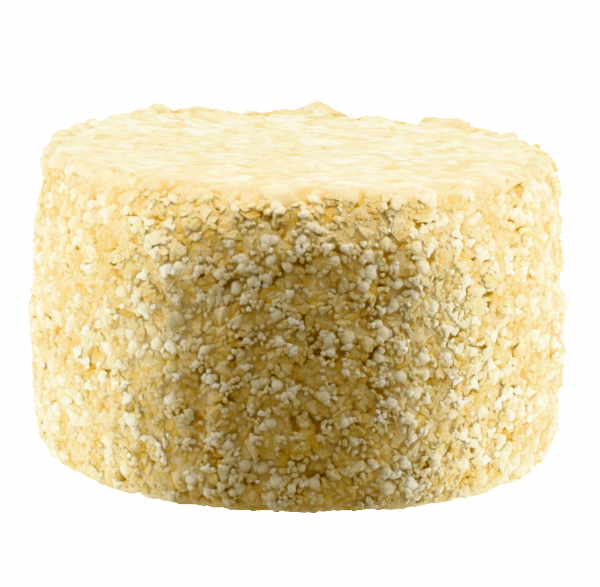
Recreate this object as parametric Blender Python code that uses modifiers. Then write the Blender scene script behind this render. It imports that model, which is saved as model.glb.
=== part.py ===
"""A whole drum of grey cheese, a crumbly sour-milk cheese pressed from loose curd.

The drum is one solid. Its wall swells a little below mid-height and draws in to a rounded
foot and a tighter top edge. The top was pressed flat, and the wall kept the shape of the
curd: clumps of all sizes with gaps between them, a few deep pits where a clump fell out,
hollows where more of it broke away, and upright creases from the folds of the mould's cloth.
The rim has torn lips and crests of curd.

Units are metres, +Z is up, and the origin is the middle of the flat base. The front is -Y.
"""

import math
import random

import bmesh
import bpy
from mathutils import Vector, geometry, noise

# The drum, before the curd's own relief
BELLY_RADIUS = 0.0846
BELLY_HEIGHT = 0.0430
FOOT_RADIUS = 0.0806
SHOULDER_RADIUS = 0.0792
DRUM_HEIGHT = 0.0975
FOOT_ROUNDING = 0.0090
RIM_ROUNDING = 0.0034
LEAN = 0.010  # the drum is taller on its left side by this share, and lower on its right

# The faceting of the solid
COLUMNS = 140
ROW_SPACING = 0.0033
TOP_SPACING = 0.0043
EDGE_CLEARANCE = 0.55 * TOP_SPACING  # between the top's lattice and its edge
MERGE = 0.00001
SMOOTH_ANGLE = math.radians(50)

# The curd's clumps, coarse and fine, each a rounded cell about as large as its size
CLUMP_SIZE = 0.0105
CLUMP_HEIGHT = 0.0020
CLUMP_MIDDLE = 0.6  # the share of a clump's dome that lies on the plain drum
CLUMP_SPREAD = 0.0008  # how far one clump stands out or in beside the others
CRUMB_SIZE = 0.0056
CRUMB_HEIGHT = 0.0007
CRUMB_MIDDLE = 0.5
CRUMB_SHIFT = Vector((0.4, 0.1, 0.7))
DOME_REACH = 0.75  # in cells, from a clump's middle to its foot
CELL_ROUNDNESS = 2.5
GAP_WIDTH = 0.20  # in cells
GAP_DEPTH = 0.0008
SWELL_SIZE = 0.034
SWELL_HEIGHT = 0.0007

# Pits where a clump fell out, one in a share of the cells of a coarse net
PIT_SPACING = 0.024
PIT_RADIUS = 0.0052
PIT_DEPTH = 0.0027
PIT_SHARE = 0.45
PIT_STEEPNESS = 1.6
PIT_SHIFT = Vector((3.7, 1.9, 8.1))
CLUMP_DRAW = 7.31
PIT_DRAW = 5.77

# The pressed top and the flat base
PRESSED_SHARE = 0.16  # how much of the clumps' relief the top keeps
RIM_BAND = 0.011  # from the edge to where the top is fully pressed
LIFTED_BAND = 0.012  # how far down the wall a lip of the rim pulls the curd up
FOOT_SHARE = 0.35  # how much of the relief is left at the foot
BASE_CLEARANCE = 0.0004  # the curd beside the base stays this much above it

# The cloth's creases: azimuth in degrees, lowest and highest point
CREASE_WIDTH = 0.0026
CREASE_DEPTH = 0.0018
CREASE_WANDER = 1.3  # degrees
CREASE_WAVE = 0.012
FRONT_CREASES = (
    (204, 0.070, 0.097),
    (224, 0.040, 0.066),
    (249, 0.018, 0.042),
    (291, 0.056, 0.078),
    (312, 0.052, 0.086),
    (327, 0.020, 0.046),
)
BACK_CREASES = 7
BACK_START = 350  # degrees
BACK_SPAN = 205
SEED = 11

# What stands up from the rim, or is lost from it: azimuth in degrees, half-width along the rim,
# reach inwards, height
RIM_LIPS = (
    (138, 0.062, 0.034, 0.0034),
    (84, 0.0110, 0.012, 0.0044),
    (97, 0.020, 0.013, 0.0022),
    (128, 0.0060, 0.006, 0.0036),
    (49, 0.019, 0.015, 0.0026),
    (30, 0.034, 0.016, 0.0012),
    (330, 0.016, 0.014, 0.0009),
    (236, 0.012, 0.010, 0.0010),
    (284, 0.014, 0.010, 0.0011),
    (258, 0.0080, 0.006, -0.0016),
    (8, 0.010, 0.009, -0.0008),
)

# Places where curd broke away from the wall: azimuth in degrees, height, half-width along the
# wall, half-height, depth
HOLLOW_STEEPNESS = 1.3
HOLLOWS = (
    (262, 0.0870, 0.0130, 0.0050, 0.0028),
    (284, 0.0860, 0.0110, 0.0056, 0.0028),
    (253, 0.0785, 0.0070, 0.0052, 0.0022),
    (287, 0.0610, 0.0100, 0.0062, 0.0026),
    (237, 0.0560, 0.0065, 0.0080, 0.0020),
    (310, 0.0280, 0.0110, 0.0055, 0.0022),
    (62, 0.0860, 0.0120, 0.0052, 0.0026),
    (112, 0.0440, 0.0100, 0.0068, 0.0024),
    (160, 0.0700, 0.0080, 0.0060, 0.0022),
    (352, 0.0600, 0.0090, 0.0062, 0.0022),
)

CHEESE_COLOUR = (0.83, 0.68, 0.36, 1.0)
CHEESE_ROUGHNESS = 0.55


def clear_scene():
    """Removes whatever the scene holds."""
    for obj in list(bpy.data.objects):
        bpy.data.objects.remove(obj)


def cheese_material():
    """Moist curd, which is matt with a faint waxy gloss."""
    material = bpy.data.materials.new("pressed_curd")
    material.use_nodes = True
    shader = material.node_tree.nodes["Principled BSDF"]
    shader.inputs["Base Color"].default_value = CHEESE_COLOUR
    shader.inputs["Roughness"].default_value = CHEESE_ROUGHNESS
    shader.inputs["Metallic"].default_value = 0.0
    return material


def smooth_step(value):
    """0 below 0, 1 above 1, with a soft change between them."""
    share = min(max(value, 0.0), 1.0)
    return share * share * (3.0 - 2.0 * share)


def turn_between(azimuth, other):
    """How far apart two azimuths are, in degrees, from -180 to 180."""
    return (azimuth - other + 180.0) % 360.0 - 180.0


def azimuth_of(point):
    """The azimuth of a point in degrees, counted from +X towards +Y."""
    return math.degrees(math.atan2(point.y, point.x))


def wall_radius(height):
    """The drum's radius at a height, with no rounding of its edges."""
    if height < BELLY_HEIGHT:
        share, end = (BELLY_HEIGHT - height) / BELLY_HEIGHT, FOOT_RADIUS
    else:
        share, end = (height - BELLY_HEIGHT) / (DRUM_HEIGHT - BELLY_HEIGHT), SHOULDER_RADIUS
    return BELLY_RADIUS - (BELLY_RADIUS - end) * share * share


def arc(centre_radius, centre_height, rounding, start, end):
    """Points (radius, height) along an arc, angles in degrees above the horizon."""
    count = max(2, round(rounding * math.radians(abs(end - start)) / ROW_SPACING))
    for step in range(count + 1):
        angle = math.radians(start + (end - start) * step / count)
        yield (
            centre_radius + rounding * math.cos(angle),
            centre_height + rounding * math.sin(angle),
        )


def profile():
    """The outer side from the pressed top's edge down to the base, as (radius, height)."""
    top = DRUM_HEIGHT - RIM_ROUNDING
    low = FOOT_ROUNDING
    rim = list(arc(wall_radius(top) - RIM_ROUNDING, top, RIM_ROUNDING, 90, 0))
    foot = list(arc(wall_radius(low) - FOOT_ROUNDING, low, FOOT_ROUNDING, 0, -90))
    count = round((top - low) / ROW_SPACING)
    heights = [top + (low - top) * step / count for step in range(1, count)]
    return rim + [(wall_radius(height), height) for height in heights] + foot


def turned_wall():
    """The wall, turned from the profile. Every second row sits half a column further round."""
    mesh = bpy.data.meshes.new("profile")
    points = []
    for row, (radius, height) in enumerate(profile()):
        turn = math.pi / COLUMNS * (row % 2)
        points.append((radius * math.cos(turn), radius * math.sin(turn), height))
    mesh.from_pydata(points, [(row, row + 1) for row in range(len(points) - 1)], [])
    lathe = bpy.data.objects.new("profile", mesh)
    bpy.context.scene.collection.objects.link(lathe)
    screw = lathe.modifiers.new("turn", "SCREW")
    screw.axis = "Z"
    screw.angle = math.tau
    screw.steps = COLUMNS
    screw.render_steps = COLUMNS
    screw.use_merge_vertices = True
    screw.merge_threshold = MERGE
    graph = bpy.context.evaluated_depsgraph_get()
    wall = bpy.data.meshes.new_from_object(lathe.evaluated_get(graph))
    bpy.data.objects.remove(lathe)
    return wall


def open_rings(shape):
    """The wall's two open rings of vertices: the top one, then the bottom one."""
    ends = {vertex for edge in shape.edges if edge.is_boundary for vertex in edge.verts}
    middle = DRUM_HEIGHT / 2
    for chosen in ([v for v in ends if v.co.z > middle], [v for v in ends if v.co.z < middle]):
        yield sorted(chosen, key=lambda vertex: math.atan2(vertex.co.y, vertex.co.x))


def close_top(shape, ring):
    """Fills the top ring with even triangles on a lattice."""
    edge_radius = ring[0].co.xy.length
    height = ring[0].co.z
    places = [vertex.co.xy.copy() for vertex in ring]
    row_gap = TOP_SPACING * math.sqrt(3) / 2
    rows = int(edge_radius / row_gap) + 1
    for row in range(-rows, rows + 1):
        for column in range(-rows - 1, rows + 2):
            place = Vector((TOP_SPACING * (column + 0.5 * (row % 2)), row_gap * row))
            if place.length < edge_radius - EDGE_CLEARANCE:
                places.append(place)
    edge = [(at, (at + 1) % len(ring)) for at in range(len(ring))]
    _, _, faces, origins, _, _ = geometry.delaunay_2d_cdt(places, edge, [], 1, MERGE)
    corners = list(ring) + [shape.verts.new((*place, height)) for place in places[len(ring):]]
    for face in faces:
        shape.faces.new([corners[origins[corner][0]] for corner in face])


def crease_list():
    """The cloth's creases: those of the front as named, and the rest spread round the back."""
    draw = random.Random(SEED)
    creases = list(FRONT_CREASES)
    for number in range(BACK_CREASES):
        azimuth = BACK_START + BACK_SPAN * (number + draw.uniform(0.2, 0.8)) / BACK_CREASES
        low = draw.uniform(0.012, 0.060)
        creases.append((azimuth % 360, low, low + draw.uniform(0.018, 0.032)))
    return creases


def crease_depth(point, creases):
    """How deep the cloth's creases cut at a point of the wall."""
    azimuth = azimuth_of(point)
    depth = 0.0
    for place, low, high in creases:
        wander = CREASE_WANDER * noise.noise((place, point.z / CREASE_WAVE, 0.0))
        aside = math.radians(turn_between(azimuth, place + wander)) * point.xy.length
        across = aside / (2.0 * CREASE_WIDTH)
        along = (point.z - (low + high) / 2) / ((high - low) / 2)
        if abs(across) < 1.0 and abs(along) < 1.0:
            share = (1.0 - across * across) * (1.0 - along * along)
            depth = max(depth, CREASE_DEPTH * share)
    return depth


def hollow_depth(point):
    """How deep the named hollows are at a point of the wall."""
    azimuth = azimuth_of(point)
    depth = 0.0
    for place, height, half_width, half_height, deepest in HOLLOWS:
        across = math.radians(turn_between(azimuth, place)) * point.xy.length / half_width
        along = (point.z - height) / half_height
        inside = 1.0 - math.hypot(across, along)
        depth = max(depth, deepest * smooth_step(HOLLOW_STEEPNESS * inside))
    return depth


def clumps(point, size):
    """A field of rounded clumps: height from 0 to 1, the clump's own number, and its gap."""
    distances, centres = noise.voronoi(
        point / size, distance_metric="DISTANCE", exponent=CELL_ROUNDNESS
    )
    dome = 1.0 - min(distances[0] / DOME_REACH, 1.0) ** 2
    number = noise.cell(centres[0] * CLUMP_DRAW)
    gap = 1.0 - smooth_step((distances[1] - distances[0]) / GAP_WIDTH)
    return dome, number, gap


def pit_depth(point):
    """How deep the hollows of missing clumps are at a point."""
    distances, centres = noise.voronoi(
        point / PIT_SPACING + PIT_SHIFT, distance_metric="DISTANCE", exponent=CELL_ROUNDNESS
    )
    number = 0.5 + 0.5 * noise.cell(centres[0] * PIT_DRAW)
    if number > PIT_SHARE:
        return 0.0
    reach = PIT_RADIUS * (0.6 + number / PIT_SHARE)
    inside = 1.0 - distances[0] * PIT_SPACING / reach
    return PIT_DEPTH * smooth_step(PIT_STEEPNESS * inside)


def pressed(point):
    """How far the press flattened the curd here: 0 on the wall, 1 on the middle of the top."""
    inwards = smooth_step((wall_radius(DRUM_HEIGHT) - point.xy.length) / RIM_BAND)
    upwards = smooth_step(1.0 - (DRUM_HEIGHT - point.z) / RIM_ROUNDING)
    return inwards * upwards


def curd_relief(point, creases):
    """How far the curd stands out of the plain drum at a point, along its normal."""
    dome, number, gap = clumps(point, CLUMP_SIZE)
    crumb, _, _ = clumps(point + CRUMB_SHIFT, CRUMB_SIZE)
    flat = pressed(point)
    relief = CLUMP_HEIGHT * (dome - CLUMP_MIDDLE) + CLUMP_SPREAD * number
    relief += CRUMB_HEIGHT * (crumb - CRUMB_MIDDLE) - GAP_DEPTH * gap
    relief *= 1.0 - flat * (1.0 - PRESSED_SHARE)
    relief += SWELL_HEIGHT * noise.fractal(point / SWELL_SIZE, 1.0, 2.0, 2)
    lost = max(pit_depth(point), crease_depth(point, creases), hollow_depth(point))
    return relief - (1.0 - flat) * lost


def rim_lift(point):
    """How far the torn lips raise the top at a point, and its few dips lower it."""
    azimuth = azimuth_of(point)
    inwards = max(0.0, SHOULDER_RADIUS - point.xy.length)
    lift = 0.0
    for place, half_width, reach, height in RIM_LIPS:
        across = math.radians(turn_between(azimuth, place)) * SHOULDER_RADIUS / half_width
        lift += height * smooth_step(1.0 - abs(across)) * smooth_step(1.0 - inwards / reach)
    return lift * smooth_step(1.0 - (DRUM_HEIGHT - point.z) / LIFTED_BAND)


def moved(vertex, on_base, creases):
    """Where a vertex of the plain drum lies on the curd's surface."""
    point = vertex.co
    out = Vector((point.x, point.y, 0.0)).normalized() if on_base else vertex.normal
    share = FOOT_SHARE + (1.0 - FOOT_SHARE) * smooth_step(point.z / FOOT_ROUNDING)
    place = point + out * curd_relief(point, creases) * share
    if not on_base:
        place.z = max(place.z + rim_lift(point), BASE_CLEARANCE)
    place.z *= 1.0 - LEAN * place.x / BELLY_RADIUS
    return place


def raise_relief(shape, base):
    """Moves every vertex of the plain drum to the curd's surface. The base stays flat."""
    creases = crease_list()
    shape.normal_update()
    places = [moved(vertex, vertex in base, creases) for vertex in shape.verts]
    for vertex, place in zip(shape.verts, places):
        vertex.co = place


def centre_on_base(shape):
    """Puts the middle of the drum's box over the origin."""
    for axis in (0, 1):
        values = [vertex.co[axis] for vertex in shape.verts]
        middle = (min(values) + max(values)) / 2
        for vertex in shape.verts:
            vertex.co[axis] -= middle


def cheese_drum():
    """The whole cheese as one closed solid."""
    wall = turned_wall()
    shape = bmesh.new()
    shape.from_mesh(wall)
    bpy.data.meshes.remove(wall)
    top_ring, base_ring = open_rings(shape)
    close_top(shape, top_ring)
    shape.faces.new(base_ring)
    bmesh.ops.recalc_face_normals(shape, faces=shape.faces)
    raise_relief(shape, set(base_ring))
    centre_on_base(shape)
    bmesh.ops.triangulate(shape, faces=shape.faces, quad_method="SHORT_EDGE")
    mesh = bpy.data.meshes.new("cheese")
    shape.to_mesh(mesh)
    shape.free()
    mesh.shade_smooth()
    mesh.set_sharp_from_angle(angle=SMOOTH_ANGLE)
    mesh.materials.append(cheese_material())
    return bpy.data.objects.new("cheese", mesh)


def build():
    """Makes the part in a collection of its own."""
    clear_scene()
    collection = bpy.data.collections.new("grey_cheese")
    bpy.context.scene.collection.children.link(collection)
    collection.objects.link(cheese_drum())


build()
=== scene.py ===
"""The finished look of a whole wheel of grey cheese, a crumbly sour-milk cheese.

The wheel is a drum pressed from loose curd. Its wall is a skin of fused curd, packed all over
with real grains: matt white lumps and bits, and waxy lumps, chips and bits. Its top was pressed
flat. The scene stands it on a pale light table, in a small tent that is lit mostly from both sides.
"""

import logging
import math
import random
from dataclasses import dataclass, field
from enum import Enum
from typing import Any, Iterable

import bmesh
import bpy
import numpy as np
from mathutils import Matrix, Vector
from mathutils.bvhtree import BVHTree


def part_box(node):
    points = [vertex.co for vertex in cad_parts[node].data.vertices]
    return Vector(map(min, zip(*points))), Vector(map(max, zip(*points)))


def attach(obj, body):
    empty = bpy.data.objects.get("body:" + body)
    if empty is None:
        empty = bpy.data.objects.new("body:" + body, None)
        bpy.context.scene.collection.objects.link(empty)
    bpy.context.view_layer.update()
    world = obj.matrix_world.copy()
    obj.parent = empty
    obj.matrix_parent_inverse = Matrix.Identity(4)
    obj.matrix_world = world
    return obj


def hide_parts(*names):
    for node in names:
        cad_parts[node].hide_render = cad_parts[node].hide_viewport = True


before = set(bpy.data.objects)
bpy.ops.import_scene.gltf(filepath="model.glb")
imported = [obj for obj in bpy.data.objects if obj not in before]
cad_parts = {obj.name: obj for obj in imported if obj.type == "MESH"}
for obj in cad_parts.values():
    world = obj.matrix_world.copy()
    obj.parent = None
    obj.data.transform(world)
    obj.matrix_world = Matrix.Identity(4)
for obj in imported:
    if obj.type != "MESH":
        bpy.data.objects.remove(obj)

log = logging.getLogger("grey_cheese")

MM = 0.001
BODY = "root"
NODE = "cheese"

Tree = bpy.types.NodeTree
Socket = bpy.types.NodeSocket

# Names of the values on a mesh. The materials read the first three.
WHITE = "white_curd"  # 1 on white curd
# The hollow value sets where the materials paint shade and glow into the gaps.
HOLLOW_SHADE = "hollow"  # 1 down in the gaps
TONE = "tone"  # a random number for each lump or grain
PRESSED = "pressed"  # 1 where the mould pressed the lumps flat
DRIFT = "drift"  # high where white curd lies in a drift
MOULD = "mould"  # the spot on the mould's face
OUTWARD = "outward"  # the direction out of the cheese there
WIDTH = "width"  # a grain's width

DRIFT_SIZE = 12 * MM  # white curd lies in drifts about this far apart
DRIFT_LEVEL = 0.52  # the noise value at a drift's edge

RIM_FROM, RIM_TO = 78 * MM, 99 * MM  # the heights between which the wall turns into the top


def linear(code: str) -> tuple[float, float, float, float]:
    """Turns an sRGB colour into the linear values that shaders take.

    Args:
        code: Six hex digits.

    Returns:
        Red, green, blue and an alpha of 1.
    """
    shares = [int(code[at:at + 2], 16) / 255 for at in (0, 2, 4)]
    red, green, blue = (s / 12.92 if s <= 0.04045 else ((s + 0.055) / 1.055) ** 2.4 for s in shares)
    return red, green, blue, 1.0


def add(
    tree: Tree, kind: str, inputs: dict[Any, Any] | None = None, **settings: Any
) -> bpy.types.Node:
    """Adds one node to a tree, with its settings, values and links.

    Args:
        tree: The tree that gets the node.
        kind: The node's type.
        inputs: A socket's name or place, and the value it holds or the output that feeds it.
        settings: The node's own properties.

    Returns:
        The new node.
    """
    made = tree.nodes.new(kind)
    for name, value in settings.items():
        setattr(made, name, value)
    for socket, value in (inputs or {}).items():
        if isinstance(value, Socket):
            tree.links.new(value, made.inputs[socket])
        else:
            made.inputs[socket].default_value = value
    return made


def maths(tree: Tree, operation: str, *values: Any, clamp: bool = False) -> Socket:
    """Adds a calculation on numbers and gives its result."""
    inputs = dict(enumerate(values))
    return add(tree, "ShaderNodeMath", inputs, operation=operation, use_clamp=clamp).outputs[0]


def vectors(tree: Tree, operation: str, *values: Any) -> Socket:
    """Adds a calculation on vectors and gives its result.

    Args:
        tree: The tree that gets the node.
        operation: The calculation.
        values: The vectors, or for SCALE a vector and a number.

    Returns:
        A vector, or for DOT_PRODUCT a number.
    """
    sockets = (0, "Scale") if operation == "SCALE" else (0, 1)
    made = add(tree, "ShaderNodeVectorMath", dict(zip(sockets, values)), operation=operation)
    return made.outputs["Value" if operation == "DOT_PRODUCT" else "Vector"]


def step(
    tree: Tree, value: Any, start: Any, end: Any, low: float = 0.0, high: float = 1.0, soft: bool = True
) -> Socket:
    """Adds a change from one number to another, as a value crosses a band.

    Args:
        tree: The tree that gets the node.
        value: The value.
        start: The value at one side of the band.
        end: The value at its other side.
        low: The number at `start`.
        high: The number at `end`.
        soft: Whether the change starts and ends gently, or is steady.

    Returns:
        The changing number.
    """
    limits = {0: value, 1: start, 2: end, 3: low, 4: high}
    kind = "SMOOTHSTEP" if soft else "LINEAR"
    return add(tree, "ShaderNodeMapRange", limits, interpolation_type=kind).outputs[0]


def mixed(tree: Tree, kind: str, share: Any, first: Any, second: Any) -> Socket:
    """Adds a mix of two numbers, vectors or colours and gives the outcome."""
    low, high, result = {"FLOAT": (2, 3, 0), "VECTOR": (4, 5, 1), "RGBA": (6, 7, 2)}[kind]
    return add(tree, "ShaderNodeMix", {0: share, low: first, high: second}, data_type=kind).outputs[result]


def noise(tree: Tree, place: Socket, scale: float, detail: float, **more: float) -> Any:
    """Adds a cloudy pattern and gives its sockets: one value as Fac and three as Color."""
    inputs = {"Vector": place, "Scale": scale, "Detail": detail}
    return add(tree, "ShaderNodeTexNoise", inputs | more).outputs


def read(tree: Tree, name: str, kind: str = "FLOAT") -> Socket:
    """Adds a Geometry Nodes reading of a named value on the mesh."""
    return add(tree, "GeometryNodeInputNamedAttribute", {"Name": name}, data_type=kind).outputs[0]


def stored(
    tree: Tree, shape: Any, name: str, value: Any, kind: str = "FLOAT", domain: str = "POINT"
) -> Socket:
    """Adds the storing of a named value on a shape and gives the shape."""
    inputs = {"Geometry": shape, "Name": name, "Value": value}
    return add(tree, "GeometryNodeStoreNamedAttribute", inputs, data_type=kind, domain=domain).outputs[0]


def new_tree(name: str, sockets: dict[str, tuple[str, Any]]) -> Tree:
    """Starts a Geometry Nodes tree that takes a shape and a material and gives a shape.

    Args:
        name: The tree's name.
        sockets: The name of each further input, its socket type and its usual value.

    Returns:
        The tree, with its two end nodes in place.
    """
    tree = bpy.data.node_groups.new(name, "GeometryNodeTree")
    tree.interface.new_socket("Geometry", in_out="INPUT", socket_type="NodeSocketGeometry")
    tree.interface.new_socket("Geometry", in_out="OUTPUT", socket_type="NodeSocketGeometry")
    for label, (kind, value) in (sockets | {"Material": ("NodeSocketMaterial", None)}).items():
        socket = tree.interface.new_socket(label, in_out="INPUT", socket_type=kind)
        if value is not None:
            socket.default_value = value
    tree.nodes.new("NodeGroupInput")
    tree.nodes.new("NodeGroupOutput")
    return tree


def give(tree: Tree, shape: Socket) -> None:
    """Ends a tree: the shape gets the material that the tree was given, and leaves it.

    Args:
        tree: The Geometry Nodes tree.
        shape: The finished shape.
    """
    material = tree.nodes["Group Input"].outputs["Material"]
    dressed = add(tree, "GeometryNodeSetMaterial", {"Geometry": shape, "Material": material}).outputs[0]
    tree.links.new(dressed, tree.nodes["Group Output"].inputs[0])


def placed(name: str, data: bpy.types.ID) -> bpy.types.Object:
    """Puts a new object in the scene.

    Args:
        name: The object's name.
        data: Its mesh, light or camera.

    Returns:
        The object.
    """
    made = bpy.data.objects.new(name, data)
    bpy.context.scene.collection.objects.link(made)
    return made


def as_mesh(shape: bmesh.types.BMesh, name: str, smooth: bool = True) -> bpy.types.Mesh:
    """Turns an edited shape into a mesh and frees the shape.

    Args:
        shape: The shape.
        name: The mesh's name.
        smooth: Whether its faces are shaded as one round surface.

    Returns:
        The mesh.
    """
    mesh = bpy.data.meshes.new(name)
    shape.to_mesh(mesh)
    shape.free()
    if smooth:
        mesh.shade_smooth()
    return mesh


def grown(name: str, host: bpy.types.Mesh, tree: Tree, values: dict[str, Any]) -> bpy.types.Object:
    """Runs a tree on a mesh and keeps the outcome as a plain mesh object.

    Args:
        name: The finished piece's name.
        host: The mesh that the tree starts from.
        tree: The Geometry Nodes tree.
        values: A value for each of the tree's inputs that is set here, by the input's name.

    Returns:
        The finished object, with no modifier on it.
    """
    piece = placed(name, host)
    modifier = piece.modifiers.new(tree.name, "NODES")
    modifier.node_group = tree
    for item in tree.interface.items_tree:
        if item.in_out == "INPUT" and item.name in values:
            modifier[item.identifier] = values[item.name]
    graph = bpy.context.evaluated_depsgraph_get()
    mesh = bpy.data.meshes.new_from_object(piece.evaluated_get(graph), depsgraph=graph)
    piece.modifiers.remove(modifier)
    piece.data = mesh
    mesh.name = name
    return piece


def hand_over(piece: bpy.types.Object) -> None:
    """Ties a finished piece to the cheese's body and logs how many triangles it has.

    Args:
        piece: The finished piece.
    """
    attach(piece, BODY)
    log.info("%s: %d triangles", piece.name, sum(len(face.vertices) - 2 for face in piece.data.polygons))


MOTTLE_SIZE = 2.6 * MM  # the width of the soft clouds of colour in curd
MOTTLE_CONTRAST, MOTTLE_SHIFT = 2.4, -1.4  # stretch the clouds' middle values over pale and deep
GRIT_VARIETY = 0.4  # how far one facet or knob differs in colour from the next
GRIT_WAVES, GRIT_STRAY = 2.2, 0.5  # how closely and how far edges wave, beside a facet's or knob's width
# Paler lines along facets are painted light, and deeper lines round knobs painted shade.
FACET_LINE = (0.14, 0.0)  # how near a facet's edge the line along it begins and is full
KNOB_LINE = (0.4, 0.8)  # how far from a knob's middle the line round it begins and is full
CURD_IOR = 1.40  # of a gel that is mostly water


class Grit(Enum):
    """The fine relief of a broken or a fresh curd surface."""

    CRYSTAL = "flat facets, each tilted its own way, as ripened curd breaks"
    KNOBS = "small round knobs, as fresh curd sets"


@dataclass(frozen=True)
class CurdFinish:
    """Sour-milk curd: a moist, faintly translucent protein gel, fresh and airy or ripened and waxy.

    Attributes:
        name: The material's name.
        pale: The colour of the lightest spots.
        deep: The colour of the darkest spots.
        gap_shade: The colour down in the gaps: painted shade, and the painted golden glow of light that has
            gone through a lot of curd.
        roughness: How matt the surface is.
        glow: How much of the light travels inside the curd.
        travel: How far red, green and blue light travel, in mm.
        grit: The kind of fine relief.
        grit_size: How wide one facet or knob is, in mm.
        grit_height: How strongly it stands out, as a share of its width.
        seam_shade_and_light: The colour of the lines between facets or knobs: painted shade round knobs, and
            painted light along the edges of facets where it is paler.
        lines: How strongly those lines show.
        evening: How far light that spreads inside the curd evens out the shading.
    """

    name: str
    pale: str
    deep: str
    gap_shade: str
    roughness: float
    glow: float
    travel: tuple[float, float, float]
    grit: Grit
    grit_size: float
    grit_height: float
    seam_shade_and_light: str
    lines: float
    evening: float = 0.45

    def material(self) -> bpy.types.Material:
        """Builds the material.

        Returns:
            A material that reads the tone, white and hollow values of the mesh. The hollow value paints shade
            and glow into the gaps.
        """
        made = bpy.data.materials.new(self.name)
        made.use_nodes = True
        tree = made.node_tree
        shader = tree.nodes["Principled BSDF"]
        place = add(tree, "ShaderNodeTexCoord").outputs["Object"]
        normal, line, draw = self.fine_relief(tree, place)
        tone = add(tree, "ShaderNodeAttribute", attribute_name=TONE).outputs["Fac"]
        mottle = noise(tree, place, 1 / MOTTLE_SIZE, 4.0, Roughness=0.65)["Fac"]
        spread = maths(tree, "MULTIPLY_ADD", mottle, MOTTLE_CONTRAST, MOTTLE_SHIFT)
        varied = maths(tree, "MULTIPLY_ADD", draw, GRIT_VARIETY, spread)
        share = maths(tree, "ADD", tone, varied, clamp=True)
        hollow = add(tree, "ShaderNodeAttribute", attribute_name=HOLLOW_SHADE).outputs["Fac"]
        # The lines paint shade round knobs and light along the edges of facets.
        seamed = mixed(tree, "RGBA", line, self.body(tree, share), linear(self.seam_shade_and_light))
        # Down in the gaps the colour turns to painted shade and the painted glow of light gone deep into the
        # curd.
        colour = mixed(tree, "RGBA", hollow, seamed, linear(self.gap_shade))
        tree.links.new(colour, shader.inputs["Base Color"])
        shader.inputs["Roughness"].default_value = self.roughness
        shader.inputs["IOR"].default_value = CURD_IOR
        shader.inputs["Subsurface Weight"].default_value = self.glow
        shader.inputs["Subsurface Radius"].default_value = self.travel
        shader.inputs["Subsurface Scale"].default_value = MM
        tree.links.new(normal, shader.inputs["Normal"])
        return made

    def body(self, tree: Tree, share: Socket) -> Socket:
        """Mixes the curd's own colour.

        Args:
            tree: The material's tree.
            share: 0 where the curd is pale and 1 where it is deep.

        Returns:
            The colour outside the gaps.
        """
        return mixed(tree, "RGBA", share, linear(self.pale), linear(self.deep))

    def fine_relief(
        self, tree: Tree, place: Socket
    ) -> tuple[Socket, Socket, Socket]:
        """Adds the facets or knobs that are too small for the mesh.

        Args:
            tree: The material's tree.
            place: Object coordinates.

        Returns:
            The normal, the lines between the facets or knobs, and a random number for each.
        """
        size = self.grit_size * MM
        ragged = noise(tree, place, GRIT_WAVES / size, 1.0)["Color"]
        bent = vectors(tree, "ADD", place, vectors(tree, "SCALE", ragged, GRIT_STRAY * size))
        cells = {"Vector": bent, "Scale": 1 / size}
        cell = add(tree, "ShaderNodeTexVoronoi", cells).outputs
        draw = add(tree, "ShaderNodeSeparateColor", {0: cell["Color"]}).outputs[0]
        if self.grit is Grit.CRYSTAL:
            inside = vectors(tree, "SUBTRACT", bent, cell["Position"])
            lean = vectors(tree, "SUBTRACT", cell["Color"], (0.5, 0.5, 0.5))
            height, scale = vectors(tree, "DOT_PRODUCT", inside, lean), 2.0 * self.grit_height
            edge = add(tree, "ShaderNodeTexVoronoi", cells, feature="DISTANCE_TO_EDGE").outputs["Distance"]
            line = step(tree, edge, *FACET_LINE, high=self.lines)
        else:
            square = maths(tree, "MULTIPLY", cell["Distance"], cell["Distance"])
            height, scale = square, -self.grit_height * size
            line = step(tree, cell["Distance"], *KNOB_LINE, high=self.lines)
        raised, even = maths(tree, "MULTIPLY", height, scale), self.evened(tree, place)
        relief = {"Strength": 1.0, "Distance": 1.0, "Height": raised, "Normal": even}
        return add(tree, "ShaderNodeBump", relief).outputs[0], line, draw

    def evened(self, tree: Tree, place: Socket) -> Socket:
        """Leans the normal towards the drum's own, because light that spreads inside curd evens it out.

        Args:
            tree: The material's tree.
            place: Object coordinates.

        Returns:
            The normal to shade with.
        """
        height = add(tree, "ShaderNodeSeparateXYZ", {0: place}).outputs[2]
        on_top = step(tree, height, RIM_FROM, RIM_TO)
        out = vectors(tree, "NORMALIZE", vectors(tree, "MULTIPLY", place, (1.0, 1.0, 0.0)))
        drum = mixed(tree, "VECTOR", on_top, out, (0.0, 0.0, 1.0))
        normal = add(tree, "ShaderNodeNewGeometry").outputs["Normal"]
        return vectors(tree, "NORMALIZE", mixed(tree, "VECTOR", self.evening, normal, drum))


@dataclass(frozen=True)
class SkinFinish(CurdFinish):
    """The fused skin, where white lumps stand in waxy curd.

    Attributes:
        white_pale: The lightest colour of the white lumps.
        white_deep: Their darkest colour.
    """

    white_pale: str = "F9F4DE"
    white_deep: str = "F4E9C4"

    def body(self, tree: Tree, share: Socket) -> Socket:
        """Mixes the colours of waxy curd and of white lumps.

        Args:
            tree: The material's tree.
            share: 0 where the curd is pale and 1 where it is deep.

        Returns:
            The colour outside the gaps.
        """
        white = mixed(tree, "RGBA", share, linear(self.white_pale), linear(self.white_deep))
        mask = add(tree, "ShaderNodeAttribute", attribute_name=WHITE).outputs["Fac"]
        return mixed(tree, "RGBA", mask, super().body(tree, share), white)


# Waxy curd fused round white lumps. Light runs deep into it, so its gaps are painted with a golden glow and
# shade.
WALL_CURD = SkinFinish(
    name="fused_curd",
    pale="F3E8C6", deep="EADAAA", gap_shade="ECC25C", seam_shade_and_light="F6EBC8",
    roughness=0.6, glow=0.15, travel=(1.2, 0.8, 0.4),
    grit=Grit.CRYSTAL, grit_size=1.4, grit_height=0.14, lines=0.22,
)
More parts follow.
